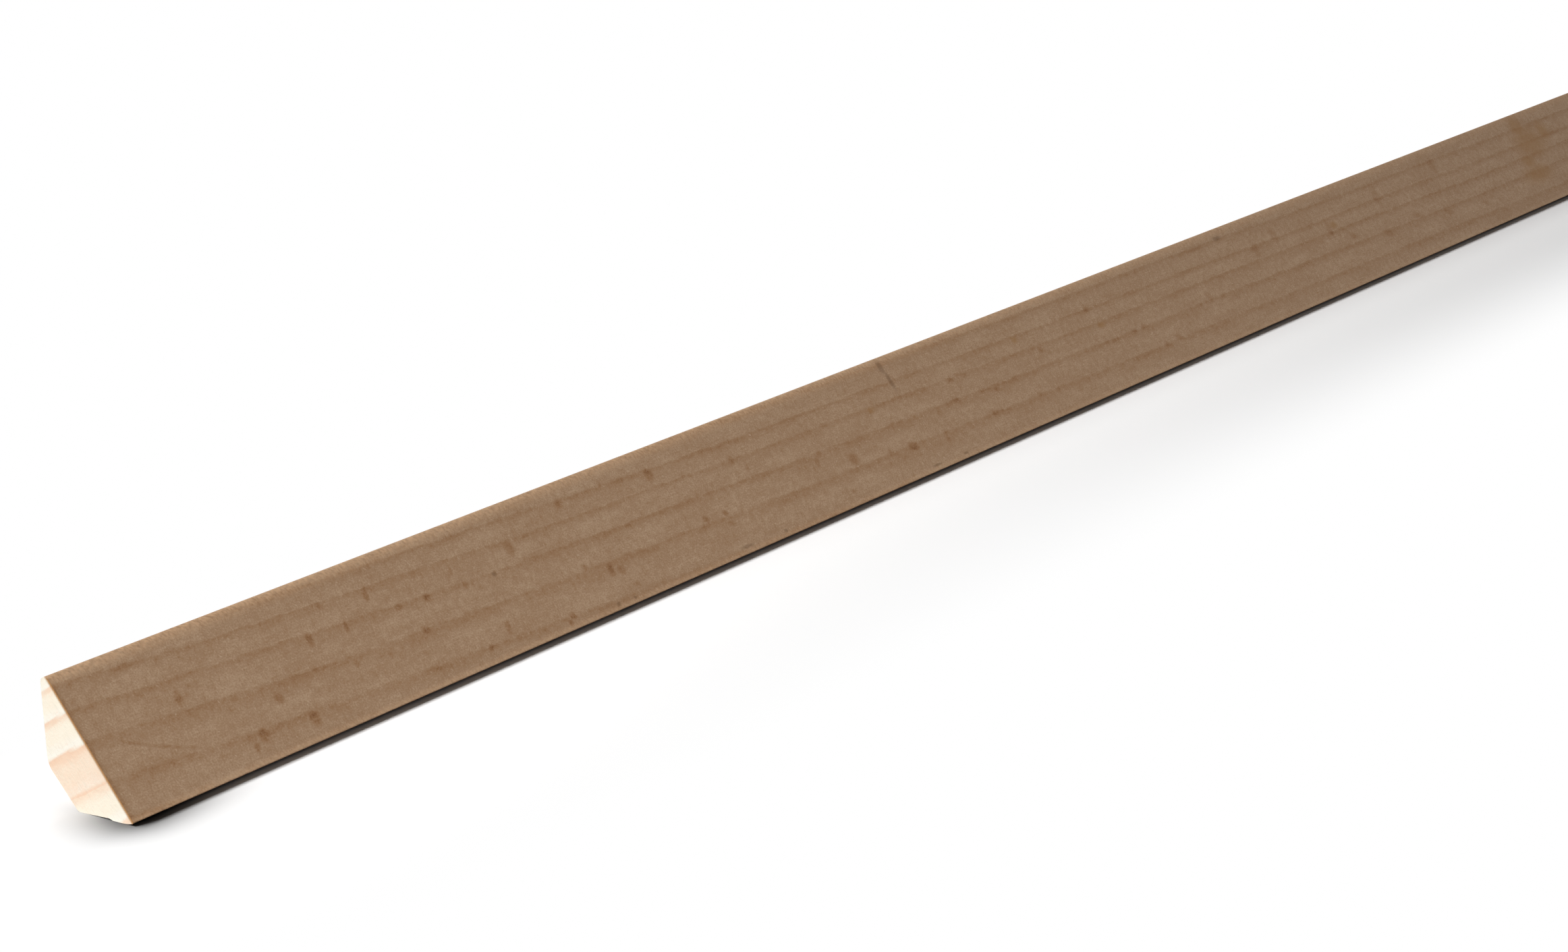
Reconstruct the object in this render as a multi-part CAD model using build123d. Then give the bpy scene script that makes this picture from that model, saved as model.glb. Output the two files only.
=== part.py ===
from build123d import *
import os
from math import sqrt

# Shoe moulding: one length of solid hardwood trim. Its back stands against a skirting, its toe
# rests on the floor, and its flat front slopes from the one to the other.
# X runs along the length, the front looks towards -Y and the back towards +Y, and Z is up.
# The origin is on the floor, under the middle of the part. Sizes are in millimetres.

# Overall sizes
LENGTH = 2438.4      # eight feet, a length that such trim is sold in
HEIGHT = 19.0        # floor to the crown of the rounded upper edge
DEPTH = 16.0         # back face to the foremost point of the nose

# Upper edge and nose
TOP_ROUND = 0.9      # radius of the upper edge, tangent to the back and to the front
NOSE_ROUND = 0.2     # radius of the front arris above the toe
NOSE_LIFT = 0.25     # gap between the floor and the underside of the nose

# Underside, from the nose to the heel
TOE_ROLL = 1.9       # run of the curve from under the nose's centre back to the toe pad
TOE_PAD = 1.8        # width of the flat that the toe stands on
TOE_RAMP = 0.7       # run of the ramp from the toe pad up into the hollow
HOLLOW_RISE = 0.2    # rise of the shallow hollow where it is deepest, behind the toe
HEEL_PAD = 1.3       # width of the flat that the heel stands on, up to its sharp corner

# Relief that clears the lower back edge
RELIEF_RISE = 6.0    # height of the relief up the back face
RELIEF_RUN = 5.3     # depth of the relief along the underside
RELIEF_ROUND = 3.0   # radius where the relief leaves the back face
HEEL_ROUND = 0.8     # radius where the relief meets the heel pad


def section_point(out, up):
    """A point of the section, from its distance out from the back face and its height."""
    return Vector(DEPTH / 2 - out, up)


def front_normal(top_centre, nose_centre):
    """The outward normal of the flat that touches the upper round and the nose round."""
    run = nose_centre - top_centre
    along = run.normalized()
    outward = Vector(along.Y, -along.X)
    lean = (TOP_ROUND - NOSE_ROUND) / run.length
    return along * lean + outward * sqrt(1 - lean**2)


def moulding_section():
    """The section: upper edge, front, nose, toe, hollow underside, heel, relief and back."""
    top_centre = section_point(TOP_ROUND, HEIGHT - TOP_ROUND)
    nose_centre = section_point(DEPTH - NOSE_ROUND, NOSE_LIFT + NOSE_ROUND)
    normal = front_normal(top_centre, nose_centre)

    # The curve under the nose touches the nose round from inside and is level at the toe pad
    nose_drop = (NOSE_LIFT + NOSE_ROUND) ** 2 - NOSE_ROUND**2
    toe_radius = (TOE_ROLL**2 + nose_drop) / (2 * NOSE_LIFT)
    pad_front = DEPTH - NOSE_ROUND - TOE_ROLL
    toe_centre = section_point(pad_front, toe_radius)
    nose_foot = nose_centre + (nose_centre - toe_centre).normalized() * NOSE_ROUND

    pad_back = pad_front - TOE_PAD
    heel_corner = section_point(RELIEF_RUN, 0)
    relief_corner = section_point(0, RELIEF_RISE)

    upper_edge = TangentArc(
        section_point(0, HEIGHT - TOP_ROUND),
        top_centre + normal * TOP_ROUND,
        tangent=(0, 1),
    )
    front = Line(upper_edge @ 1, nose_centre + normal * NOSE_ROUND)
    nose = TangentArc(front @ 1, nose_foot, tangent=front % 1)
    toe = TangentArc(nose @ 1, section_point(pad_front, 0), tangent=nose % 1)
    underside = Polyline(
        toe @ 1,
        section_point(pad_back, 0),
        section_point(pad_back - TOE_RAMP, HOLLOW_RISE),
        section_point(RELIEF_RUN + HEEL_PAD, 0),
        heel_corner,
    )
    relief_and_back = Polyline(heel_corner, relief_corner, upper_edge @ 0)

    section = make_face(upper_edge + front + nose + toe + underside + relief_and_back)
    heel = section.vertices().sort_by_distance(heel_corner)[0]
    section = fillet(heel, HEEL_ROUND)
    relief = section.vertices().sort_by_distance(relief_corner)[0]
    return fillet(relief, RELIEF_ROUND)


def shoe_moulding():
    """The section run along the whole length, half to each side of the middle."""
    return extrude(Plane.YZ * moulding_section(), amount=LENGTH / 2, both=True)


os.makedirs("parts", exist_ok=True)
export_step(shoe_moulding(), "parts/shoe_moulding.step")
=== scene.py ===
"""Stained hardwood shoe moulding, modelled and finished over its CAD frame.

One eight foot length of trim lies on a pale floor as it stands in use: back upright, toe and heel
down. The sloping front carries a brown wiping stain. The ends, the back, the relief and the
underside are bare wood. Sizes are metres, or millimetres where a name or a comment says so.
"""

import logging
from collections.abc import Callable, Mapping
from dataclasses import dataclass, field
from enum import Enum
from math import asin, pi, radians, sqrt, tan

import bpy
from bpy.types import Collection, Material, NodeSocket, NodeTree, Object
from mathutils import Euler, Matrix, Vector


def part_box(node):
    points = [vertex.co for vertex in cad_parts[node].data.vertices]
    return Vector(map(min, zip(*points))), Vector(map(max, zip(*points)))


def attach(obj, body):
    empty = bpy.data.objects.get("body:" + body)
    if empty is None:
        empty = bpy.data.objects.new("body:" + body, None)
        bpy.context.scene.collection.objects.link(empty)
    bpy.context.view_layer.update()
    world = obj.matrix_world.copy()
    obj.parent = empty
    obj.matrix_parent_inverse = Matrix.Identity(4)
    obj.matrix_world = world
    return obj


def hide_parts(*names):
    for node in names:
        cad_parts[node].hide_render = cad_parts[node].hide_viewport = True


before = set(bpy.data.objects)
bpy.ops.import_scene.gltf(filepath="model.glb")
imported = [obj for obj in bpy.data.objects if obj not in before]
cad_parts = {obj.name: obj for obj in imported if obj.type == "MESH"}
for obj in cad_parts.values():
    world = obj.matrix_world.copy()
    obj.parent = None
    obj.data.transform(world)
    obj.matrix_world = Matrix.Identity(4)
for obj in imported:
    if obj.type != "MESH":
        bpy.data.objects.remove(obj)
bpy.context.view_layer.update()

log = logging.getLogger("shoe_moulding")

MM = 0.001
NODE = "shoe_moulding"
# Corners this near to a plane lie on it, and corners this near to an edge's line belong to the edge
ON_PLANE = 1e-7
ON_EDGE = 2e-6
# A range that eases in and out
EASED = {"interpolation_type": "SMOOTHSTEP"}

Source = NodeSocket | float | tuple[float, ...]
Ovals = tuple[tuple[float, float, float, float], ...]


def linear(hex_colour: str) -> tuple[float, float, float, float]:
    """Turn an sRGB hex colour into the linear one that a shader takes.

    Args:
        hex_colour: The colour as "#rrggbb".

    Returns:
        Red, green, blue and a full alpha, in linear light.
    """
    channels = [int(hex_colour[i : i + 2], 16) / 255 for i in (1, 3, 5)]
    red, green, blue = (c / 12.92 if c <= 0.04045 else ((c + 0.055) / 1.055) ** 2.4 for c in channels)
    return red, green, blue, 1.0


def add(
    tree: NodeTree,
    kind: str,
    inputs: Mapping[int | str, Source] | None = None,
    out: int | str = 0,
    **settings: object,
) -> NodeSocket | None:
    """Add one shader node with its settings, links and values.

    Args:
        tree: The node tree that takes the node.
        kind: The node's type, without its "ShaderNode" prefix.
        inputs: What feeds each input: a socket to link, or a value to set.
        out: The output to hand back.
        **settings: The node's own properties.

    Returns:
        The chosen output socket, or None for a node that has no outputs.
    """
    node = tree.nodes.new(f"ShaderNode{kind}")
    for name, value in settings.items():
        setattr(node, name, value)
    for key, source in (inputs or {}).items():
        if isinstance(source, NodeSocket):
            tree.links.new(source, node.inputs[key])
        else:
            node.inputs[key].default_value = source
    return node.outputs[out] if node.outputs else None


class Pick(Enum):
    """The kind of mesh element that a selection takes."""

    VERTICES = "VERT"
    EDGES = "EDGE"
    FACES = "FACE"


class Blank:
    """A block of wood on the bench: one mesh object, shaped in edit mode."""

    def __init__(self, name: str, low: Vector, high: Vector) -> None:
        """Start from a cube that fills the box between two corners.

        Args:
            name: The piece's name.
            low: The box's lowest corner.
            high: The box's highest corner.
        """
        bpy.ops.object.select_all(action="DESELECT")
        bpy.ops.mesh.primitive_cube_add(size=1.0)
        self.obj: Object = bpy.context.active_object
        self.obj.name = name
        self.obj.data.name = name
        bpy.ops.object.mode_set(mode="EDIT")
        bpy.ops.mesh.select_all(action="SELECT")
        bpy.ops.transform.resize(value=high - low, center_override=(0.0, 0.0, 0.0))
        bpy.ops.transform.translate(value=(low + high) / 2)

    def pick(self, kind: Pick, inside: Callable[[Vector], bool]) -> None:
        """Select the elements whose corners all lie in one place.

        Args:
            kind: What is selected.
            inside: Says whether a point lies in that place.
        """
        bpy.ops.mesh.select_mode(type=kind.value)
        bpy.ops.mesh.select_all(action="DESELECT")
        bpy.ops.object.mode_set(mode="OBJECT")
        mesh = self.obj.data
        within = [inside(vertex.co) for vertex in mesh.vertices]
        if kind is Pick.VERTICES:
            for vertex in mesh.vertices:
                vertex.select = within[vertex.index]
        else:
            for element in mesh.edges if kind is Pick.EDGES else mesh.polygons:
                element.select = all(within[corner] for corner in element.vertices)
        bpy.ops.object.mode_set(mode="EDIT")

    def plane_off(self, point: Vector, outward: Vector) -> None:
        """Cut the whole block along a plane and throw away what lies outside it.

        Args:
            point: A point on the plane.
            outward: The plane's normal, towards the waste.
        """
        bpy.ops.mesh.select_all(action="SELECT")
        bpy.ops.mesh.bisect(plane_co=point, plane_no=outward, use_fill=True, clear_outer=True)

    def score(self, point: Vector, normal: Vector) -> None:
        """Cut new edges along a plane into the selected faces, and leave those edges selected."""
        bpy.ops.mesh.bisect(plane_co=point, plane_no=normal)

    def round_over(self, offset: float, segments: int) -> None:
        """Round the selected edges.

        Args:
            offset: Distance from the edge to where the round leaves each face.
            segments: Flats that make up the round.
        """
        bpy.ops.mesh.bevel(offset_type="OFFSET", offset=offset, segments=segments, clamp_overlap=False)

    def finish(self, merge: float, sharp: float) -> None:
        """Close the seams, turn the faces outwards and shade the rounds smooth.

        Args:
            merge: Corners nearer than this become one.
            sharp: Edges that turn by more than this angle stay crisp.
        """
        bpy.ops.mesh.select_all(action="SELECT")
        bpy.ops.mesh.remove_doubles(threshold=merge)
        bpy.ops.mesh.normals_make_consistent(inside=False)
        bpy.ops.mesh.select_all(action="DESELECT")
        bpy.ops.object.mode_set(mode="OBJECT")
        bpy.ops.object.shade_smooth_by_angle(angle=sharp)
        # Flats keep their own normal right up to the rounds
        bpy.ops.object.modifier_add(type="WEIGHTED_NORMAL")
        weighting = self.obj.modifiers[-1]
        weighting.keep_sharp = True
        weighting.weight = 100
        bpy.ops.object.modifier_apply(modifier=weighting.name)


@dataclass
class ShoeMoulding:
    """The length of moulding: its section sizes, and how it is shaped and dressed."""

    low: Vector
    high: Vector
    top_round: float = 0.9 * MM
    nose_round: float = 0.2 * MM
    nose_lift: float = 0.25 * MM
    toe_roll: float = 1.9 * MM
    toe_pad: float = 1.8 * MM
    toe_ramp: float = 0.7 * MM
    hollow_rise: float = 0.2 * MM
    heel_pad: float = 1.3 * MM
    relief_rise: float = 6.0 * MM
    relief_run: float = 5.3 * MM
    relief_round: float = 3.0 * MM
    heel_round: float = 0.8 * MM
    runs: int = 8
    piece: Object | None = field(default=None, init=False)
    front_normal: Vector = field(init=False)
    front_top: Vector = field(init=False)
    front_foot: Vector = field(init=False)
    toe_radius: float = field(init=False)
    toe_normal: Vector = field(init=False)
    nose_foot: Vector = field(init=False)

    def __post_init__(self) -> None:
        """Work out the flat front, which touches the upper round and the nose round, and the toe."""
        top_centre = self.at(self.top_round, self.height - self.top_round)
        nose_centre = self.at(self.depth - self.nose_round, self.nose_lift + self.nose_round)
        run = nose_centre - top_centre
        along = run.normalized()
        lean = (self.top_round - self.nose_round) / run.length
        square = Vector((0.0, along.z, -along.y))
        self.front_normal = along * lean + square * sqrt(1 - lean**2)
        self.front_top = top_centre + self.front_normal * self.top_round
        self.front_foot = nose_centre + self.front_normal * self.nose_round

        # The curve under the nose touches the nose round and is level at the toe pad
        drop = (self.nose_lift + self.nose_round) ** 2 - self.nose_round**2
        self.toe_radius = (self.toe_roll**2 + drop) / (2 * self.nose_lift)
        toe_centre = self.at(self.depth - self.nose_round - self.toe_roll, self.toe_radius)
        self.toe_normal = (nose_centre - toe_centre).normalized()
        self.nose_foot = nose_centre + self.toe_normal * self.nose_round

    @property
    def length(self) -> float:
        """The moulding's length."""
        return self.high.x - self.low.x

    @property
    def depth(self) -> float:
        """The moulding's depth, from its back to its nose."""
        return self.high.y - self.low.y

    @property
    def height(self) -> float:
        """The moulding's height, from the floor to its crown."""
        return self.high.z - self.low.z

    @property
    def relief_normal(self) -> Vector:
        """The relief's outward normal, down and towards the back."""
        return Vector((0.0, self.relief_rise, -self.relief_run)).normalized()

    def at(self, out: float, up: float) -> Vector:
        """A point of the section at the near end, from its distance out from the back and its height."""
        return Vector((self.low.x, self.high.y - out, self.low.z + up))

    def build(self) -> Object:
        """Shape the moulding from a block.

        Returns:
            The finished piece.
        """
        blank = Blank("stained_moulding", self.low, self.high)
        self.plane_flats(blank)
        self.hollow_underside(blank)
        self.round_edges(blank)
        self.mark_runs(blank)
        blank.finish(merge=4e-6, sharp=radians(35))
        self.piece = blank.obj
        return self.piece

    def plane_flats(self, blank: Blank) -> None:
        """Plane the sloping front, the underside of the nose and the relief off the block.

        Args:
            blank: The block that is shaped.
        """
        blank.plane_off(self.front_top, self.front_normal)
        blank.plane_off(self.nose_foot, self.toe_normal)
        blank.plane_off(self.at(self.relief_run, 0.0), self.relief_normal)

    def hollow_underside(self, blank: Blank) -> None:
        """Score the underside behind the toe pad and lift the deepest line of the hollow.

        Args:
            blank: The block that is shaped.
        """
        pad_back = self.depth - self.nose_round - self.toe_roll - self.toe_pad
        deepest = pad_back - self.toe_ramp
        floor = self.low.z
        for out in (pad_back, deepest, self.relief_run + self.heel_pad):
            blank.pick(Pick.FACES, lambda co: abs(co.z - floor) < ON_PLANE)
            blank.score(self.at(out, 0.0), Vector((0.0, 1.0, 0.0)))
        line = self.at(deepest, 0.0)
        blank.pick(Pick.VERTICES, lambda co: max(abs(co.y - line.y), abs(co.z - floor)) < ON_PLANE)
        bpy.ops.transform.translate(value=(0.0, 0.0, self.hollow_rise))

    def round_edges(self, blank: Blank) -> None:
        """Round the upper edge, the nose, the toe, the heel and the top of the relief.

        Args:
            blank: The block that is shaped.
        """
        up = Vector((0.0, 0.0, 1.0))
        back = Vector((0.0, 1.0, 0.0))
        # Where the flats would meet if nothing were rounded
        front_run = self.front_foot - self.front_top
        crown = self.front_top + front_run * ((self.height - self.front_top.z + self.low.z) / front_run.z)
        nose = self.front_top + front_run * ((self.low.y - self.front_top.y) / front_run.y)
        toe_run = Vector((0.0, self.toe_normal.z, -self.toe_normal.y))
        toe_tip = self.nose_foot + toe_run * ((self.low.y - self.nose_foot.y) / toe_run.y)
        toe_heel = self.nose_foot + toe_run * ((self.low.z - self.nose_foot.z) / toe_run.z)
        # A point on each edge, the normals of the two faces it parts, its radius and its flats
        edges = (
            (self.at(0.0, self.height), back, up, self.top_round, 6),
            (crown, up, self.front_normal, self.top_round, 4),
            (nose, self.front_normal, -back, self.nose_round, 3),
            (toe_tip, -back, self.toe_normal, self.nose_round, 5),
            (toe_heel, self.toe_normal, -up, self.toe_radius, 5),
            (self.at(self.relief_run, 0.0), -up, self.relief_normal, self.heel_round, 5),
            (self.at(0.0, self.relief_rise), self.relief_normal, back, self.relief_round, 6),
        )
        # A hair under the tangent length, so that two rounds which meet don't cross
        shy = 0.9995
        for corner, one, other, radius, segments in edges:
            blank.pick(Pick.EDGES, lambda co: abs(co.y - corner.y) + abs(co.z - corner.z) < ON_EDGE)
            blank.round_over(shy * radius * tan(one.angle(other) / 2), segments)

    def mark_runs(self, blank: Blank) -> None:
        """Part the length into equal runs with seams, so that each run unwraps as a short strip.

        Args:
            blank: The block that is shaped.
        """
        for run in range(1, self.runs):
            bpy.ops.mesh.select_all(action="SELECT")
            blank.score(Vector((self.low.x + self.length * run / self.runs, 0, 0)), Vector((1, 0, 0)))
            bpy.ops.mesh.mark_seam()

    def dress(self, finish: "StainedHardwood") -> None:
        """Give the piece its finish and tie it to the frame.

        Args:
            finish: The wood and its stain.
        """
        self.piece.data.materials.clear()
        self.piece.data.materials.append(finish.build(self))
        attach(self.piece, "root")
        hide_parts(NODE)


# Marks on the stained front, each as its place and size in millimetres: from the near end, down
# the front from its upper edge, width along the length and height down the front
STRONG_FLECKS = (
    (18.7, 9.2, 1.2, 2.4), (26.7, 20.4, 1.0, 1.3), (29.0, 19.2, 1.6, 2.0), (35.2, 15.0, 1.6, 1.6),
    (39.3, 19.9, 1.8, 2.4), (46.5, 8.6, 1.2, 2.4), (54.3, 8.9, 0.8, 2.0), (61.3, 5.4, 1.0, 2.0),
    (66.0, 9.1, 1.5, 1.0), (72.3, 9.3, 1.2, 1.2), (68.5, 14.0, 1.4, 1.2), (94.0, 7.1, 2.0, 2.4),
    (112.0, 16.7, 1.2, 2.0), (114.3, 17.3, 1.6, 1.4), (84.3, 18.7, 1.2, 2.0), (78.7, 20.5, 1.0, 1.2),
    (98.4, 21.0, 1.4, 1.2), (97.2, 22.0, 1.0, 1.0), (132.7, 4.1, 1.8, 2.2), (139.3, 14.9, 1.4, 1.2),
    (144.5, 15.2, 1.2, 1.0), (183.0, 15.1, 2.4, 2.2), (200.3, 17.2, 2.6, 1.6),
)
FAINT_FLECKS = (
    (20.3, 9.2, 0.8, 1.2), (44.3, 12.9, 1.1, 1.2), (51.6, 4.3, 0.8, 1.0), (52.2, 14.7, 1.0, 1.0),
    (59.3, 15.5, 0.9, 0.9), (81.2, 9.8, 1.2, 1.0), (82.7, 10.0, 0.6, 1.2), (91.6, 11.7, 1.2, 1.0),
    (79.9, 6.7, 0.8, 1.5), (109.7, 2.9, 1.8, 2.2), (106.8, 14.4, 1.4, 1.0), (115.7, 20.4, 1.2, 0.8),
    (121.7, 11.0, 2.0, 0.8), (120.7, 2.5, 0.8, 1.2), (140.8, 10.5, 1.2, 0.6), (144.4, 17.2, 1.8, 0.8),
    (150.2, 17.2, 1.0, 0.8), (156.0, 9.5, 1.0, 1.2), (153.5, 6.9, 1.2, 2.0), (175.3, 11.8, 1.2, 1.2),
    (173.6, 13.3, 1.2, 1.4), (178.0, 20.5, 1.6, 0.8), (193.7, 16.4, 1.8, 1.0), (210.8, 18.8, 1.4, 1.4),
    (213.0, 13.5, 1.6, 1.4), (219.6, 12.4, 1.8, 1.2), (221.3, 8.5, 2.0, 1.0), (227.8, 17.3, 1.8, 1.4),
    (232.7, 13.5, 1.8, 1.2), (243.7, 17.6, 1.8, 1.2), (252.5, 9.6, 1.8, 1.2), (274.0, 5.3, 2.0, 1.6),
    (284.5, 13.1, 2.0, 1.0), (288.7, 13.2, 2.4, 1.4), (292.3, 18.4, 2.4, 1.4), (297.5, 17.9, 2.2, 1.2),
    (316.0, 12.4, 2.0, 2.0), (352.5, 5.5, 2.4, 4.0), (374.5, 8.7, 2.0, 4.0), (382.0, 12.2, 3.0, 1.8),
    (401.0, 5.7, 2.8, 4.5), (412.5, 13.5, 4.0, 1.2), (426.5, 15.7, 4.0, 1.4), (432.3, 4.0, 3.0, 4.0),
    (445.0, 17.2, 4.0, 1.2), (342.5, 7.0, 2.4, 3.0), (396.7, 15.0, 3.6, 1.8),
)
OCHRE_STAINS = (
    (195.2, 8.1, 1.8, 1.2), (246.5, 5.8, 1.8, 1.4), (275.5, 9.5, 2.4, 1.2), (377.0, 8.3, 2.8, 1.8),
    (476.5, 15.4, 14.0, 4.8), (476.0, 11.8, 7.0, 4.0), (482.0, 7.5, 15.0, 8.0), (480.5, 3.0, 6.5, 6.5),
    (491.5, 5.8, 6.0, 5.0),
)
DARK_SPOTS = (
    (87.9, 9.9, 0.9, 0.9), (204.8, 1.3, 1.4, 3.0), (205.2, 4.3, 1.0, 4.0), (331.5, 1.5, 3.0, 1.0),
    (109.2, 22.3, 0.9, 0.7), (113.5, 22.4, 0.6, 0.5), (144.8, 22.0, 3.2, 0.6), (156.0, 22.2, 0.8, 0.6),
    (203.5, 22.2, 2.6, 0.5), (213.0, 22.3, 1.2, 0.5),
)


@dataclass(frozen=True)
class Spot:
    """A point of the wood: the nodes that shade it, and sockets that give its place in millimetres."""

    # The material's nodes
    tree: NodeTree
    # The three that follow as one vector
    place: NodeSocket
    # Along the length from the near end, down the front from its upper edge, and into the wood
    along: NodeSocket
    down: NodeSocket
    under: NodeSocket
    # From the nearer end
    from_end: NodeSocket


@dataclass(frozen=True)
class Growth:
    """What the tree laid down at a point, as sockets."""

    # The ring count, which is whole at each ring's edge
    phase: NodeSocket
    # Strengths of the ring's line and of the fade below it
    line: NodeSocket
    fade: NodeSocket
    # The fine grain, around nought, and the strength of the wood rays
    grain: NodeSocket
    rays: NodeSocket


@dataclass(frozen=True)
class StainedHardwood:
    """Quarter-sawn diffuse-porous hardwood, moulded, with a brown wiping stain on its front.

    A wiping stain lies thin and even over the tight pores, so the front is a matt grey-brown that
    varies only a little. It goes darker and redder at the growth ring lines and in the ray flecks,
    where the cut fibres drink more of it. The sawn ends show the rings as fine pinkish lines in
    cream wood.
    """

    # The stained front's colour, from where the wood took least stain to where it took most
    stain_steps: tuple[tuple[float, str], ...] = (
        (0.0, "#a48a70"),
        (0.3, "#93775d"),
        (0.5, "#8c6d51"),
        (0.7, "#846245"),
        (1.0, "#6c482c"),
    )
    # The rubbed edges' colour: partly rubbed stain, partly a painted highlight
    rim_wear_and_highlight: str = "#ba9877"
    # Pale specks on raised fibre ends: a painted highlight
    speck_highlight: str = "#b39c84"
    stain_ochre: str = "#88643e"
    stain_dark: str = "#5c412c"
    stain_fringe: str = "#b0804e"
    bare: str = "#fef4e1"
    bare_pale: str = "#fff9ec"
    bare_pink: str = "#fadcc2"
    bare_line: str = "#f0c4a2"
    bare_grey: str = "#ddd5c4"
    # How much stain the plain wood takes, and how much more each feature takes
    plain_take: float = 0.24
    fade_take: float = 0.13
    line_take: float = 0.15
    end_take: float = 0.28
    branch_take: float = 0.2
    ray_take: float = 0.12
    faint_take: float = 0.22
    strong_take: float = 0.32
    # How far the ochre stains and the dark spots cover the brown
    ochre_cover: float = 0.6
    dark_cover: float = 0.45
    # How far the bare wood blushes below a ring line, in the pink year and with the grain
    fade_blush: float = 0.6
    year_blush: float = 0.6
    grain_blush: float = 0.8
    # How far ring lines and rays colour the bare wood
    bare_line_cover: float = 0.5
    bare_ray_cover: float = 0.15
    # Growth ring edges down the section, in millimetres, from the upper edge of the front
    ring_edges: tuple[float, ...] = (
        -27.3, -22.9, -18.7, -14.5, -10.6, -6.4, -2.4, 0.95, 5.25, 10.4, 16.7, 22.5, 27.7,
    )
    ring_slant: float = 0.16
    pink_year: int = 9
    fleck_lean: float = radians(14)

    def build(self, moulding: ShoeMoulding) -> Material:
        """Make the material.

        Args:
            moulding: The piece that it goes on, whose front sets the pattern's axes.

        Returns:
            The finished material.
        """
        material = bpy.data.materials.new("brown_stained_quarter_sawn_hardwood")
        material.use_nodes = True
        tree = material.node_tree
        tree.nodes.clear()
        spot = self.find_spot(tree, moulding)
        growth = self.grow(spot)
        stained = self.stained_colour(spot, growth)
        bare = self.bare_colour(spot, growth)
        covered = self.stain_cover(spot)
        colour = add(tree, "Mix", {0: covered, 6: bare, 7: stained}, out=2, data_type="RGBA")
        rough = add(tree, "MapRange", {"Value": covered, "To Min": 0.8, "To Max": 0.7})
        surface = {"Base Color": colour, "Roughness": rough, "IOR": 1.5, "Specular IOR Level": 0.09}
        shader = add(tree, "BsdfPrincipled", surface | {"Normal": self.relief(spot, growth)})
        add(tree, "OutputMaterial", {"Surface": shader})
        return material

    def find_spot(self, tree: NodeTree, moulding: ShoeMoulding) -> Spot:
        """Turn Object coordinates into millimetres along the length, down the front and into the wood.

        Args:
            tree: The material's nodes.
            moulding: The piece, whose front sets the axes.

        Returns:
            The point that is shaded.
        """
        lean = asin(-moulding.front_normal.y)
        turn = Euler((pi - lean, 0.0, 0.0))
        start = turn.to_matrix() @ (moulding.front_top / MM)
        position = add(tree, "TexCoord", out="Object")
        axes = {"Location": tuple(-start), "Rotation": tuple(turn), "Scale": (1 / MM,) * 3}
        place = add(tree, "Mapping", {"Vector": position} | axes)
        along, down, under = (add(tree, "SeparateXYZ", {0: place}, out=axis) for axis in "XYZ")
        from_end = add(tree, "Math", {0: along, 1: moulding.length / MM / 2}, operation="PINGPONG")
        return Spot(tree, place, along, down, under, from_end)

    def grow(self, spot: Spot) -> Growth:
        """Lay down the rings, the grain and the rays.

        Args:
            spot: The point that is shaded.

        Returns:
            What lies at that point.
        """
        phase = self.ring_phase(spot)
        line, fade = self.ring_marks(spot, phase)
        return Growth(phase, line, fade, self.grain(spot), self.rays(spot))

    def ring_phase(self, spot: Spot) -> NodeSocket:
        """Count growth rings down the section.

        The grain runs out of the front: the rings drop quickly over the first hand's breadth of the
        length and slowly after that, and they stray a little from that run.

        Args:
            spot: The point that is shaded.

        Returns:
            The ring count, whole at each ring's edge.
        """
        tree = spot.tree
        first_drop, settle, slope = 6.4, 100.0, 0.0068
        swing_reach, shake_reach = 0.9, 1.1
        decay = add(tree, "Math", {0: spot.along, 1: -1 / settle}, operation="MULTIPLY")
        decay = add(tree, "Math", {0: decay}, operation="EXPONENT")
        sunk = add(tree, "Math", {0: decay, 1: -first_drop, 2: first_drop}, operation="MULTIPLY_ADD")
        sunk = add(tree, "Math", {0: spot.along, 1: slope, 2: sunk}, operation="MULTIPLY_ADD")
        slanted = {0: spot.under, 1: self.ring_slant, 2: spot.down}
        across = add(tree, "Math", slanted, operation="MULTIPLY_ADD")
        across = add(tree, "Math", {0: across, 1: sunk}, operation="SUBTRACT")
        swing = add(tree, "VectorMath", {0: spot.place, 1: (1 / 60, 1 / 9, 1 / 20)}, operation="MULTIPLY")
        swing = add(tree, "TexNoise", {"Vector": swing, "Scale": 1.0, "Detail": 0.0})
        across = add(tree, "Math", {0: swing, 1: swing_reach, 2: across}, operation="MULTIPLY_ADD")
        shake = add(tree, "VectorMath", {0: spot.place, 1: (1 / 2.5, 1 / 1.2, 1 / 25)}, operation="MULTIPLY")
        shake = add(tree, "TexNoise", {"Vector": shake, "Scale": 1.0, "Detail": 2.0})
        across = add(tree, "Math", {0: shake, 1: shake_reach, 2: across}, operation="MULTIPLY_ADD")
        # Both noises average one half, which the calendar's start takes out again
        first, last = self.ring_edges[0], self.ring_edges[-1]
        middle = (swing_reach + shake_reach) / 2
        span = {"Value": across, "From Min": first + middle, "From Max": last + middle}
        share = add(tree, "MapRange", span)
        years = len(self.ring_edges) - 1
        calendar = add(tree, "FloatCurve", {"Value": share})
        curve = calendar.node.mapping.curves[0]
        for year, edge in enumerate(self.ring_edges[1:-1], start=1):
            curve.points.new((edge - first) / (last - first), year / years)
        for point in curve.points:
            point.handle_type = "VECTOR"
        calendar.node.mapping.update()
        return add(tree, "Math", {0: calendar, 1: years}, operation="MULTIPLY")

    def ring_marks(self, spot: Spot, phase: NodeSocket) -> tuple[NodeSocket, NodeSocket]:
        """Draw each ring as a line with a crisp upper edge that fades out below.

        Args:
            spot: The point that is shaded.
            phase: The ring count.

        Returns:
            The line's strength, and the fade's strength below it.
        """
        tree = spot.tree
        part = add(tree, "Math", {0: phase}, operation="FRACT")
        span = {"Value": part, "From Min": 0.88, "From Max": 1.0}
        above = add(tree, "MapRange", span, **EASED)
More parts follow.
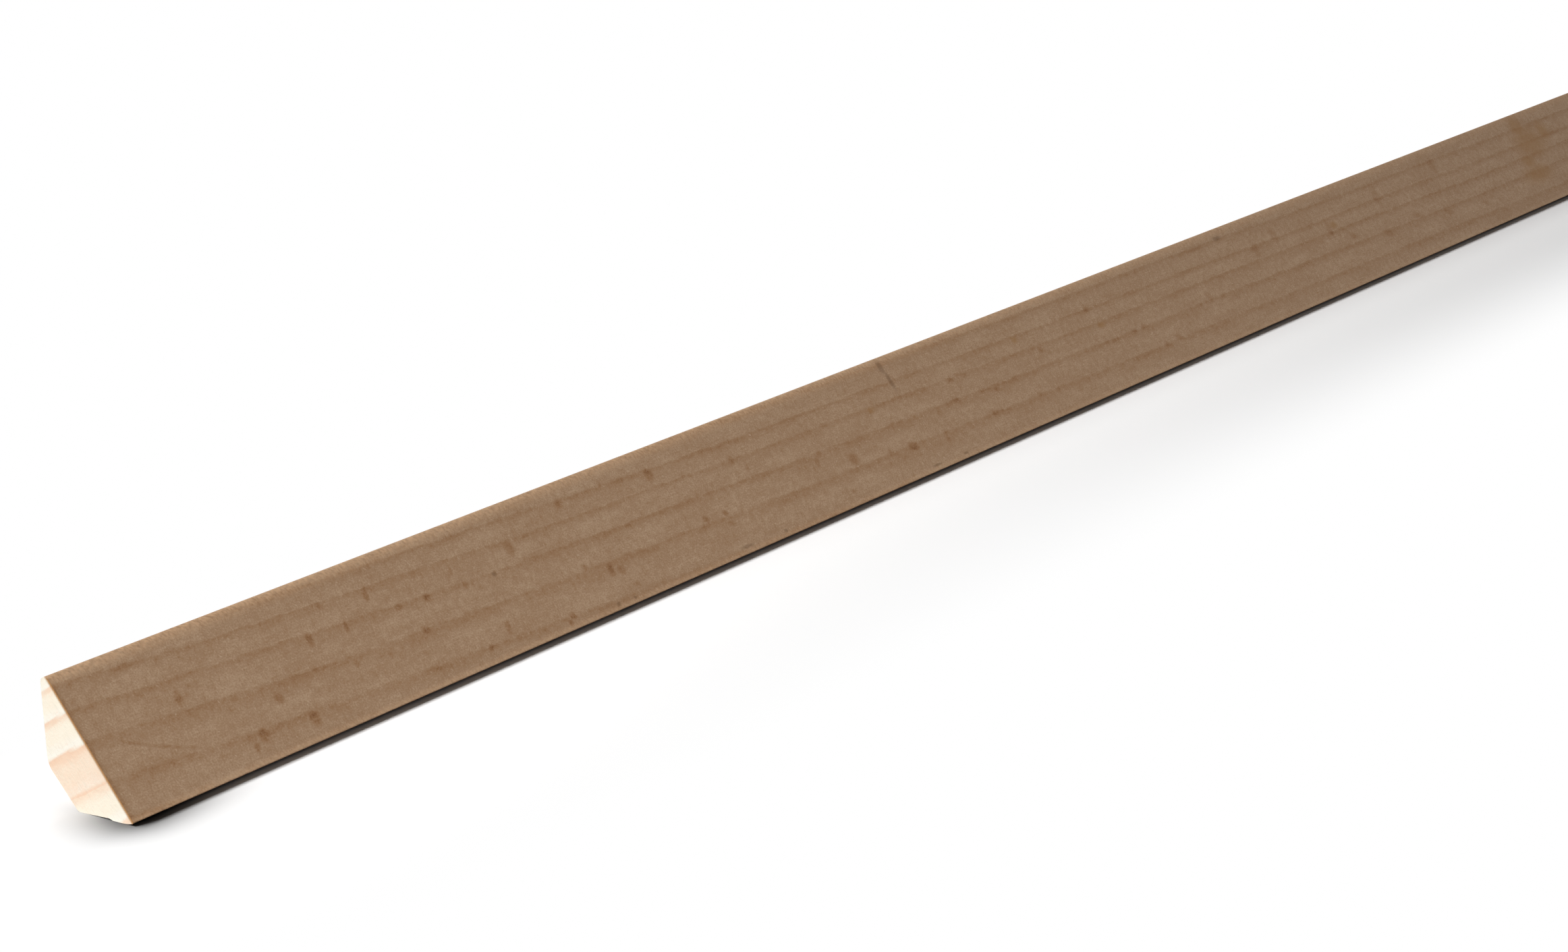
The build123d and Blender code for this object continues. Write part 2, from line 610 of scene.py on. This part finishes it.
        # The line ends soon after the ring's edge, and the fade trails on below it
        bands = []
        for gone in (0.2, 0.45):
            span = {"Value": part, "From Max": gone, "To Min": 1.0, "To Max": 0.0}
            below = add(tree, "MapRange", span, **EASED)
            bands.append(add(tree, "Math", {0: above, 1: below}, operation="MAXIMUM"))
        thin, fade = bands
        # The lines thin out and thicken again every few centimetres, and break into short dashes
        ink = add(tree, "VectorMath", {0: spot.place, 1: (1 / 14, 1 / 3, 1 / 6)}, operation="MULTIPLY")
        ink = add(tree, "TexNoise", {"Vector": ink, "Scale": 1.0, "Detail": 1.0})
        dash = add(tree, "VectorMath", {0: spot.place, 1: (1 / 1.6, 1 / 0.9, 1 / 1.5)}, operation="MULTIPLY")
        dash = add(tree, "TexNoise", {"Vector": dash, "Scale": 1.0, "Detail": 1.0})
        ink = add(tree, "Math", {0: ink, 1: dash}, operation="ADD")
        ink = add(tree, "MapRange", {"Value": ink, "From Min": 0.75, "From Max": 1.3, "To Min": 0.1})
        return add(tree, "Math", {0: thin, 1: ink}, operation="MULTIPLY"), fade

    def grain(self, spot: Spot) -> NodeSocket:
        """The fine grain: specks, blotches, fibres along the length and broader clouds.

        Args:
            spot: The point that is shaded.

        Returns:
            A value around nought, up to about a quarter either way.
        """
        tree = spot.tree
        # Real pores are a tenth of a millimetre, too fine to show, so they are drawn as specks of 0.3
        specks, blotches = (1 / 0.3,) * 3, (1 / 1.3,) * 3
        fibres, clouds = (1 / 3.0, 1 / 0.3, 1 / 1.2), (1 / 12, 1 / 3, 1 / 3)
        layers = ((specks, 0.65), (blotches, 0.4), (fibres, 0.2), (clouds, 0.35))
        # Each layer averages one half, which the start takes out again
        total: Source = -sum(weight for _, weight in layers) / 2
        for fineness, weight in layers:
            drawn = add(tree, "VectorMath", {0: spot.place, 1: fineness}, operation="MULTIPLY")
            drawn = add(tree, "TexNoise", {"Vector": drawn, "Scale": 1.0, "Detail": 1.0})
            total = add(tree, "Math", {0: drawn, 1: weight, 2: total}, operation="MULTIPLY_ADD")
        return total

    def rays(self, spot: Spot) -> NodeSocket:
        """Wood rays: thin ribbons that lie almost flat in the front, so each shows as a short fleck there.

        Args:
            spot: The point that is shaded.

        Returns:
            The strength of the ray that a point lies in.
        """
        tree = spot.tree
        leaned = add(tree, "Mapping", {"Vector": spot.place, "Rotation": (0.0, 0.0, -self.fleck_lean)})
        ribbon = add(tree, "VectorMath", {0: leaned, 1: (1 / 0.6, 1 / 2.2, 1 / 0.22)}, operation="MULTIPLY")
        streak = add(tree, "TexNoise", {"Vector": ribbon, "Scale": 1.0, "Detail": 1.0})
        span = {"Value": streak, "From Min": 0.5, "From Max": 0.8}
        return add(tree, "MapRange", span, **EASED)

    def marks(
        self, tree: NodeTree, ragged: NodeSocket, ovals: Ovals, lean: float, soft: float
    ) -> NodeSocket:
        """Draw ragged oval marks at their places.

        Args:
            tree: The material's nodes.
            ragged: The place in millimetres, with its edges shaken.
            ovals: Place and size of each mark.
            lean: How far the marks lean over along the length.
            soft: Share of a mark's radius over which its edge fades.

        Returns:
            The strength of the mark that a point lies in.
        """
        # A mark is gone at this many times its radius
        gone = 1.6
        turn = Matrix.Rotation(-lean, 3, "Z")
        leaned = add(tree, "Mapping", {"Vector": ragged, "Rotation": (0.0, 0.0, -lean)})
        leaned = add(tree, "VectorMath", {0: leaned, 1: (1.0, 1.0, 0.0)}, operation="MULTIPLY")
        nearest: NodeSocket | None = None
        for along, down, wide, tall in ovals:
            centre = turn @ Vector((along, down, 0.0))
            across, up = 2 / wide, 2 / tall
            shift = (-centre.x * across, -centre.y * up, 0.0)
            oval = add(
                tree, "VectorMath", {0: leaned, 1: (across, up, 0.0), 2: shift}, operation="MULTIPLY_ADD"
            )
            reach = add(tree, "VectorMath", {0: oval}, out="Value", operation="LENGTH")
            if nearest is not None:
                reach = add(tree, "Math", {0: nearest, 1: reach}, operation="MINIMUM")
            nearest = reach
        span = {"Value": nearest, "From Min": gone - soft, "From Max": gone, "To Min": 1.0, "To Max": 0.0}
        return add(tree, "MapRange", span, **EASED)

    def branch_line(self, spot: Spot) -> NodeSocket:
        """The short line near the end that splits off one ring and runs down into the next.

        Args:
            spot: The point that is shaded.

        Returns:
            The line's strength.
        """
        tree = spot.tree
        first, last, high, drop, bow = 4.5, 18.0, 10.9, 6.4, 0.75
        share = add(tree, "MapRange", {"Value": spot.along, "From Min": first, "From Max": last})
        course = add(tree, "Math", {0: share, 1: bow}, operation="POWER")
        course = add(tree, "Math", {0: course, 1: drop, 2: high}, operation="MULTIPLY_ADD")
        off = add(tree, "Math", {0: spot.down, 1: course}, operation="SUBTRACT")
        off = add(tree, "Math", {0: off}, operation="ABSOLUTE")
        span = {"Value": off, "From Min": 0.05, "From Max": 0.5, "To Min": 1.0, "To Max": 0.0}
        near = add(tree, "MapRange", span, **EASED)
        ends = add(tree, "Math", {0: share, 1: 0.5}, operation="PINGPONG")
        ends = add(tree, "MapRange", {"Value": ends, "From Max": 0.12})
        return add(tree, "Math", {0: near, 1: ends}, operation="MULTIPLY")

    def stained_colour(self, spot: Spot, growth: Growth) -> NodeSocket:
        """The stained front: grey-brown, warmer under each ring line, darker in lines and flecks, with
        painted highlights on raised fibres and edges.

        Args:
            spot: The point that is shaded.
            growth: What lies at that point.

        Returns:
            The colour.
        """
        tree = spot.tree
        shake = add(tree, "TexNoise", {"Vector": spot.place, "Scale": 1 / 0.9, "Detail": 1.0}, out="Color")
        shake = add(tree, "VectorMath", {0: shake, 1: (0.5, 0.5, 0.5)}, operation="SUBTRACT")
        ragged = add(
            tree, "VectorMath", {0: shake, 1: (0.4, 0.4, 0.0), 2: spot.place}, operation="MULTIPLY_ADD"
        )
        ramp = add(tree, "ValToRGB", {0: self.stain_taken(spot, growth, ragged)})
        steps = ramp.node.color_ramp.elements
        for position, _ in self.stain_steps[1:-1]:
            steps.new(position)
        for step, (position, hex_colour) in zip(steps, self.stain_steps):
            step.position = position
            step.color = linear(hex_colour)

        # Painted highlights: raised fibre ends are drawn as pale specks for the light they catch, which lie
        # thickest along the rubbed upper edge
        tuft = add(tree, "Mapping", {"Vector": spot.place, "Rotation": (0.0, 0.0, radians(30))})
        tuft = add(tree, "VectorMath", {0: tuft, 1: (1 / 0.45, 1 / 0.75, 1 / 0.5)}, operation="MULTIPLY")
        tuft = add(tree, "TexNoise", {"Vector": tuft, "Scale": 1.0, "Detail": 1.0})
        span = {"Value": tuft, "From Min": 0.6, "From Max": 0.92, "To Max": 0.7}
        fibre_glints = add(tree, "MapRange", span, **EASED)
        edge_wear_and_highlight = self.rubbed_and_lit_edges(spot, tuft)
        colour = add(tree, "Mix", {0: fibre_glints, 6: ramp, 7: linear(self.speck_highlight)}, out=2, data_type="RGBA")
        # The edges take the lighter colour of rubbed stain and painted highlight
        colour = add(tree, "Mix", {0: edge_wear_and_highlight, 6: colour, 7: linear(self.rim_wear_and_highlight)}, out=2, data_type="RGBA")
        for ovals, soft, cover, hex_colour in (
            (OCHRE_STAINS, 1.3, self.ochre_cover, self.stain_ochre),
            (DARK_SPOTS, 1.2, self.dark_cover, self.stain_dark),
        ):
            mark = self.marks(tree, ragged, ovals, 0.0, soft)
            mark = add(tree, "Math", {0: mark, 1: cover}, operation="MULTIPLY")
            colour = add(tree, "Mix", {0: mark, 6: colour, 7: linear(hex_colour)}, out=2, data_type="RGBA")
        return colour

    def stain_taken(self, spot: Spot, growth: Growth, ragged: NodeSocket) -> NodeSocket:
        """How much stain the wood took.

        Args:
            spot: The point that is shaded.
            growth: What lies at that point.
            ragged: The place in millimetres, with its edges shaken.

        Returns:
            The stain, from least to most.
        """
        tree = spot.tree
        # The end grain drinks more stain, so a dark reddish edge runs along each end
        span = {"Value": spot.from_end, "To Min": 1.0, "To Max": 0.0}
        drunk = add(tree, "MapRange", span, **EASED)
        taken = add(tree, "Math", {0: growth.grain, 1: self.plain_take}, operation="ADD")
        for feature, take in (
            (growth.fade, self.fade_take),
            (growth.line, self.line_take),
            (drunk, self.end_take),
            (self.branch_line(spot), self.branch_take),
            (growth.rays, self.ray_take),
            (self.marks(tree, ragged, FAINT_FLECKS, self.fleck_lean, 1.3), self.faint_take),
            (self.marks(tree, ragged, STRONG_FLECKS, self.fleck_lean, 1.1), self.strong_take),
        ):
            taken = add(tree, "Math", {0: feature, 1: take, 2: taken}, operation="MULTIPLY_ADD")
        return taken

    def rubbed_and_lit_edges(self, spot: Spot, tuft: NodeSocket) -> NodeSocket:
        """Rubbed stain and painted highlight: the upper edge and the nose, most of all by the near end.

        Args:
            spot: The point that is shaded.
            tuft: The raised fibre ends, which are rubbed first.

        Returns:
            How far the stain is rubbed off and the painted highlight lightens it.
        """
        tree = spot.tree
        # The upper edge and the nose's lower edge are painted lighter: partly rubbed stain, partly painted
        # highlight
        span = {"Value": spot.down, "From Min": -0.6, "From Max": 1.7, "To Min": 1.0, "To Max": 0.0}
        edge_wear_and_highlight = add(tree, "MapRange", span, **EASED)
        span = {"Value": spot.down, "From Min": 22.0, "From Max": 23.1, "To Max": 0.6}
        foot = add(tree, "MapRange", span, **EASED)
        edge_wear_and_highlight = add(tree, "Math", {0: edge_wear_and_highlight, 1: foot}, operation="MAXIMUM")
        rubbed = add(tree, "MapRange", {"Value": tuft, "From Min": 0.32, "From Max": 0.66, "To Min": 0.25})
        edge_wear_and_highlight = add(tree, "Math", {0: edge_wear_and_highlight, 1: rubbed}, operation="MULTIPLY")
        # Painted highlight falloff: the edges are lightest by the near end and fade along the length
        highlight_fade = add(tree, "MapRange", {"Value": spot.along, "From Max": 450.0, "To Min": 1.0, "To Max": 0.4})
        return add(tree, "Math", {0: edge_wear_and_highlight, 1: highlight_fade}, operation="MULTIPLY")

    def bare_colour(self, spot: Spot, growth: Growth) -> NodeSocket:
        """The bare wood: cream, with soft pinkish ring bands, one pinker year, pores and rays.

        Args:
            spot: The point that is shaded.
            growth: What lies at that point.

        Returns:
            The colour.
        """
        tree = spot.tree
        year = add(tree, "Math", {0: growth.phase}, operation="FLOOR")
        pink = add(tree, "Math", {0: year, 1: self.pink_year, 2: 0.5}, operation="COMPARE")
        part = add(tree, "Math", {0: growth.phase}, operation="FRACT")
        span = {"Value": part, "From Min": 0.55, "From Max": 0.9}
        late = add(tree, "MapRange", span, **EASED)
        blush = add(tree, "Math", {0: growth.fade, 1: 2.0}, operation="POWER")
        blush = add(tree, "Math", {0: blush, 1: self.fade_blush}, operation="MULTIPLY")
        blush = add(tree, "Math", {0: pink, 1: self.year_blush, 2: blush}, operation="MULTIPLY_ADD")
        mottled = {0: growth.grain, 1: self.grain_blush, 2: blush}
        blush = add(tree, "Math", mottled, operation="MULTIPLY_ADD", use_clamp=True)
        ring = add(tree, "Math", {0: growth.line, 1: self.bare_line_cover}, operation="MULTIPLY")
        thread = add(tree, "Math", {0: growth.rays, 1: self.bare_ray_cover}, operation="MULTIPLY")
        # The stain soaks a hair's breadth into the wood behind the front
        span = {"Value": spot.under, "From Min": 0.05, "From Max": 0.6, "To Min": 1.0, "To Max": 0.0}
        soaked = add(tree, "MapRange", span, **EASED)
        colour: Source = linear(self.bare)
        for cover, hex_colour in (
            (late, self.bare_pale),
            (blush, self.bare_pink),
            (ring, self.bare_line),
            (thread, self.bare_grey),
            (soaked, self.stain_fringe),
        ):
            colour = add(tree, "Mix", {0: cover, 6: colour, 7: linear(hex_colour)}, out=2, data_type="RGBA")
        return colour

    def stain_cover(self, spot: Spot) -> NodeSocket:
        """Where the stain lies: over the front, the upper edge and the nose, but not on the cut ends.

        Args:
            spot: The point that is shaded.

        Returns:
            The stain's cover, from none to full.
        """
        tree = spot.tree
        edge = add(tree, "TexNoise", {"Vector": spot.place, "Scale": 1 / 1.5, "Detail": 2.0})
        depth = add(tree, "Math", {0: edge, 1: 0.4, 2: spot.under}, operation="MULTIPLY_ADD")
        span = {"Value": depth, "From Min": 0.95, "From Max": 1.1, "To Min": 1.0, "To Max": 0.0}
        skin = add(tree, "MapRange", span)
        ends = add(tree, "MapRange", {"Value": spot.from_end, "From Min": 0.02, "From Max": 0.06})
        return add(tree, "Math", {0: skin, 1: ends}, operation="MULTIPLY")

    def relief(self, spot: Spot, growth: Growth) -> NodeSocket:
        """The surface's own relief: raised fibres, and flecks and ring lines a hair below them.

        Args:
            spot: The point that is shaded.
            growth: What lies at that point.

        Returns:
            The bumped normal.
        """
        tree = spot.tree
        fibre = add(tree, "VectorMath", {0: spot.place, 1: (1 / 1.4, 1 / 0.5, 1 / 0.5)}, operation="MULTIPLY")
        fibre = add(tree, "TexNoise", {"Vector": fibre, "Scale": 1.0, "Detail": 3.0})
        cut = add(tree, "Math", {0: growth.rays, 1: growth.line}, operation="MAXIMUM")
        height = add(tree, "Math", {0: cut, 1: -0.25, 2: fibre}, operation="MULTIPLY_ADD")
        return add(tree, "Bump", {"Strength": 1.0, "Distance": 0.08 * MM, "Height": height})


class Reach(Enum):
    """What a lamp shines on."""

    FLOOR = "floor"
    PIECE = "piece"


@dataclass(frozen=True)
class Lamp:
    """A rectangular lamp. Its place is measured from the near end, on the floor."""

    name: str
    reach: Reach
    place: tuple[float, float, float]
    aim: tuple[float, float, float]
    size: tuple[float, float]
    power: float


@dataclass
class Studio:
    """A pale floor, soft lamps and the camera."""

    near_end: Vector
    nose: float
    floor_size: float = 14.0
    # The board as it shows, and the grey whose light it throws on the piece
    board_white: str = "#ffffff"
    board_shade: str = "#000000"
    board_bounce: str = "#a8a8a8"
    # The shadow falls between the nose and a line this far in front of the piece's middle. The open
    # floor starts to show at the first of the two gaps from there, and shows alone from the second.
    shadow_line: float = 25 * MM
    shadow_gaps: tuple[float, float] = (16 * MM, 55 * MM)
    # The painted soft shadow under each end: its middle, in from the end and in front of the piece's middle,
    # and its reach out from the end and to the back, and in from the end and to the front
    shade_middle: tuple[float, float] = (3.0 * MM, 6.0 * MM)
    shade_out_back: tuple[float, float] = (8.0 * MM, 9.9 * MM)
    shade_in_front: tuple[float, float] = (14.2 * MM, 6.5 * MM)
    room_light: float = 0.04
    camera_step: Vector = field(default_factory=lambda: Vector((-0.31762, -0.35049, 0.17692)))
    camera_turn: tuple[float, float, float] = (74.1532, 1.8, -54.5798)
    lens: float = 81.728
    sensor: float = 36.0
    lamps: tuple[Lamp, ...] = (
        Lamp("floor_key", Reach.FLOOR, (-0.07, 0.49, 0.576), (-0.07, 0.0, 0.0), (0.16, 0.026), 7.8),
        Lamp("floor_second", Reach.FLOOR, (1.0, 0.53, 0.505), (1.0, 0.0, 0.0), (0.2, 0.12), 1.9),
        Lamp("floor_third", Reach.FLOOR, (1.7, 0.49, 0.576), (1.7, 0.0, 0.0), (0.3, 0.026), 5.2),
        Lamp("floor_last", Reach.FLOOR, (2.508, 0.49, 0.576), (2.508, 0.0, 0.0), (0.16, 0.026), 7.8),
        Lamp("back_near", Reach.PIECE, (0.02, 0.39, 0.45), (0.02, 0.0, 0.0), (0.1, 0.1), 0.8),
        Lamp("back_far", Reach.PIECE, (2.418, 0.39, 0.45), (2.418, 0.0, 0.0), (0.1, 0.1), 0.8),
        Lamp("back_bank", Reach.PIECE, (1.2, 1.5, 0.58), (1.2, 0.0, 0.0), (3.2, 0.45), 20.0),
        Lamp("front_bank", Reach.PIECE, (1.2, -1.0, 1.0), (1.2, 0.0, 0.0), (3.2, 0.9), 9.4),
        Lamp("front_near", Reach.PIECE, (-0.05, -0.55, 0.5), (0.05, 0.0, 0.0), (0.4, 0.4), 3.1),
        Lamp("front_far", Reach.PIECE, (2.488, -0.55, 0.5), (2.388, 0.0, 0.0), (0.4, 0.4), 3.1),
        Lamp("near_side", Reach.PIECE, (-1.0, 0.1, 0.4), (0.0, 0.0, 0.0), (0.8, 0.6), 9.7),
        Lamp("far_side", Reach.PIECE, (3.438, 0.1, 0.4), (2.438, 0.0, 0.0), (0.8, 0.6), 9.7),
    )

    def build(self, piece: Object) -> None:
        """Set up the floor, the light and the camera.

        Args:
            piece: The piece that stands on the floor.
        """
        floor = self.lay_floor()
        self.light_world()
        lit: dict[Reach, Collection] = {}
        for reach, target in ((Reach.FLOOR, floor), (Reach.PIECE, piece)):
            lit[reach] = bpy.data.collections.new(f"lit_{reach.value}")
            lit[reach].objects.link(target)
        for lamp in self.lamps:
            self.hang_lamp(lamp, lit[lamp.reach])
        self.place_camera()

    def lay_floor(self) -> Object:
        """Lay the floor.

        Returns:
            The floor.
        """
        bpy.ops.object.select_all(action="DESELECT")
        bpy.ops.mesh.primitive_plane_add(size=self.floor_size)
        floor = bpy.context.active_object
        floor.name = "studio_floor"
        floor.data.materials.append(self.white_board())
        log.info("floor %s", floor.name)
        return floor

    def white_board(self) -> Material:
        """Make the floor's material: matt white board, which shows plain white beyond the shadow.

        A soft shadow is painted under each end of the piece. The board throws no more than a grey one's
        light on the piece.

        Returns:
            The finished material.
        """
        material = bpy.data.materials.new("matt_white_board")
        material.use_nodes = True
        tree = material.node_tree
        tree.nodes.clear()
        position = add(tree, "TexCoord", out="Object")
        mirrored = add(tree, "VectorMath", {0: position}, operation="ABSOLUTE")
        along = add(tree, "SeparateXYZ", {0: mirrored}, out="X")
        across = add(tree, "SeparateXYZ", {0: position}, out="Y")
        place = add(tree, "CombineXYZ", {"X": along, "Y": across})

        seen = self.seen(tree)
        white, black, grey = linear(self.board_white), linear(self.board_shade), linear(self.board_bounce)
        shade = self.painted_end_shade(tree, place)
        # Painted shadow: the floor's colour darkens towards black under each end
        shown = add(tree, "Mix", {0: shade, 6: white, 7: black}, out=2, data_type="RGBA")
        colour = add(tree, "Mix", {0: seen, 6: grey, 7: shown}, out=2, data_type="RGBA")
        lit = add(tree, "BsdfDiffuse", {"Color": colour})
        plain = add(tree, "Emission", {"Color": shown, "Strength": 1.0})
        clear = add(tree, "Math", {0: self.open_floor(tree, place), 1: seen}, operation="MULTIPLY")
        shader = add(tree, "MixShader", {0: clear, 1: lit, 2: plain})
        add(tree, "OutputMaterial", {"Surface": shader})
        return material

    def open_floor(self, tree: NodeTree, place: NodeSocket) -> NodeSocket:
        """Tell the open floor from the strip along the piece's front, where its shadow lies.

        Args:
            tree: The floor's nodes.
            place: The place, with both ends folded onto one.

        Returns:
            Nought in the shadow strip, rising to one on the open floor.
        """
        before = (-abs(self.near_end.x), self.nose, 0.0)
        behind = (0.0, self.shadow_line, 0.0)
        front = add(tree, "VectorMath", {0: place, 1: (1.0, -1.0, 0.0), 2: before}, operation="MULTIPLY_ADD")
        back = add(tree, "VectorMath", {0: place, 1: (0.0, 1.0, 0.0), 2: behind}, operation="MULTIPLY_ADD")
        gap = add(tree, "VectorMath", {0: front, 1: back}, operation="MAXIMUM")
        gap = add(tree, "VectorMath", {0: gap}, out="Value", operation="LENGTH")
        first, alone = self.shadow_gaps
        span = {"Value": gap, "From Min": first, "From Max": alone}
        return add(tree, "MapRange", span, **EASED)

    def painted_end_shade(self, tree: NodeTree, place: NodeSocket) -> NodeSocket:
        """The painted shadow: a soft shade painted on the floor under each end of the piece.

        Args:
            tree: The floor's nodes.
            place: The place, with both ends folded onto one.

        Returns:
            The shade's strength.
        """
        inset, ahead = self.shade_middle
        middle = Vector((abs(self.near_end.x) - inset, -ahead))
        sides = []
        for spread in (Vector(self.shade_out_back), -Vector(self.shade_in_front)):
            scale = (1 / spread.x, 1 / spread.y, 0.0)
            shift = (-middle.x / spread.x, -middle.y / spread.y, 0.0)
            sides.append(add(tree, "VectorMath", {0: place, 1: scale, 2: shift}, operation="MULTIPLY_ADD"))
        oval = add(tree, "VectorMath", {0: sides[0], 1: sides[1]}, operation="MAXIMUM")
        reach = add(tree, "VectorMath", {0: oval, 1: oval}, out="Value", operation="DOT_PRODUCT")
        falling = add(tree, "Math", {0: reach, 1: -1.0}, operation="MULTIPLY")
        return add(tree, "Math", {0: falling}, operation="EXPONENT")

    def seen(self, tree: NodeTree) -> NodeSocket:
        """Tell the rays that show a surface to the eye: straight, mirrored or through glass.

        Args:
            tree: The nodes of the floor or the world.

        Returns:
            One for those rays, and nought for the rest.
        """
        camera = add(tree, "LightPath", out="Is Camera Ray")
        glossy = add(tree, "LightPath", out="Is Glossy Ray")
        through = add(tree, "LightPath", out="Is Transmission Ray")
        either = add(tree, "Math", {0: camera, 1: glossy}, operation="MAXIMUM")
        return add(tree, "Math", {0: either, 1: through}, operation="MAXIMUM")

    def light_world(self) -> None:
        """Fill the room with a little soft light, and show it white to the camera."""
        world = bpy.data.worlds.new("studio")
        bpy.context.scene.world = world
        world.use_nodes = True
        tree = world.node_tree
        tree.nodes.clear()
        level = add(tree, "MapRange", {"Value": self.seen(tree), "To Min": self.room_light, "To Max": 1.0})
        shader = add(tree, "Background", {"Color": (1.0, 1.0, 1.0, 1.0), "Strength": level})
        add(tree, "OutputWorld", {"Surface": shader})

    def hang_lamp(self, lamp: Lamp, lit: Collection) -> None:
        """Hang one lamp.

        Args:
            lamp: What it is and where it hangs.
            lit: The collection of what it shines on.
        """
        place = Vector(lamp.place)
        bpy.ops.object.select_all(action="DESELECT")
        bpy.ops.object.light_add(type="AREA", location=self.near_end + place)
        hung = bpy.context.active_object
        hung.name = lamp.name
        hung.rotation_euler = (place - Vector(lamp.aim)).to_track_quat("Z", "Y").to_euler()
        hung.data.shape = "RECTANGLE"
        hung.data.size, hung.data.size_y = lamp.size
        hung.data.energy = lamp.power
        hung.light_linking.receiver_collection = lit
        log.info("lamp %s for the %s", lamp.name, lamp.reach.value)

    def place_camera(self) -> None:
        """Stand the camera where it sees the near end at the left and the length run off to the right."""
        bpy.ops.object.select_all(action="DESELECT")
        bpy.ops.object.camera_add(location=self.near_end + self.camera_step)
        camera = bpy.context.active_object
        camera.rotation_euler = [radians(turn) for turn in self.camera_turn]
        camera.data.sensor_fit = "HORIZONTAL"
        camera.data.sensor_width = self.sensor
        camera.data.lens = self.lens
        camera.data.clip_start = 0.01
        bpy.context.scene.camera = camera
        log.info("camera %s", camera.name)


def main() -> None:
    """Build the moulding and the studio around it."""
    logging.basicConfig(level=logging.INFO, format="%(name)s: %(message)s")
    bpy.context.scene.view_settings.view_transform = "Standard"
    low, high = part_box(NODE)
    moulding = ShoeMoulding(low, high)
    piece = moulding.build()
    moulding.dress(StainedHardwood())
    log.info("piece %s: %d faces", piece.name, len(piece.data.polygons))
    Studio(Vector((low.x, 0.0, low.z)), low.y).build(piece)


if __name__ == "__main__":
    main()
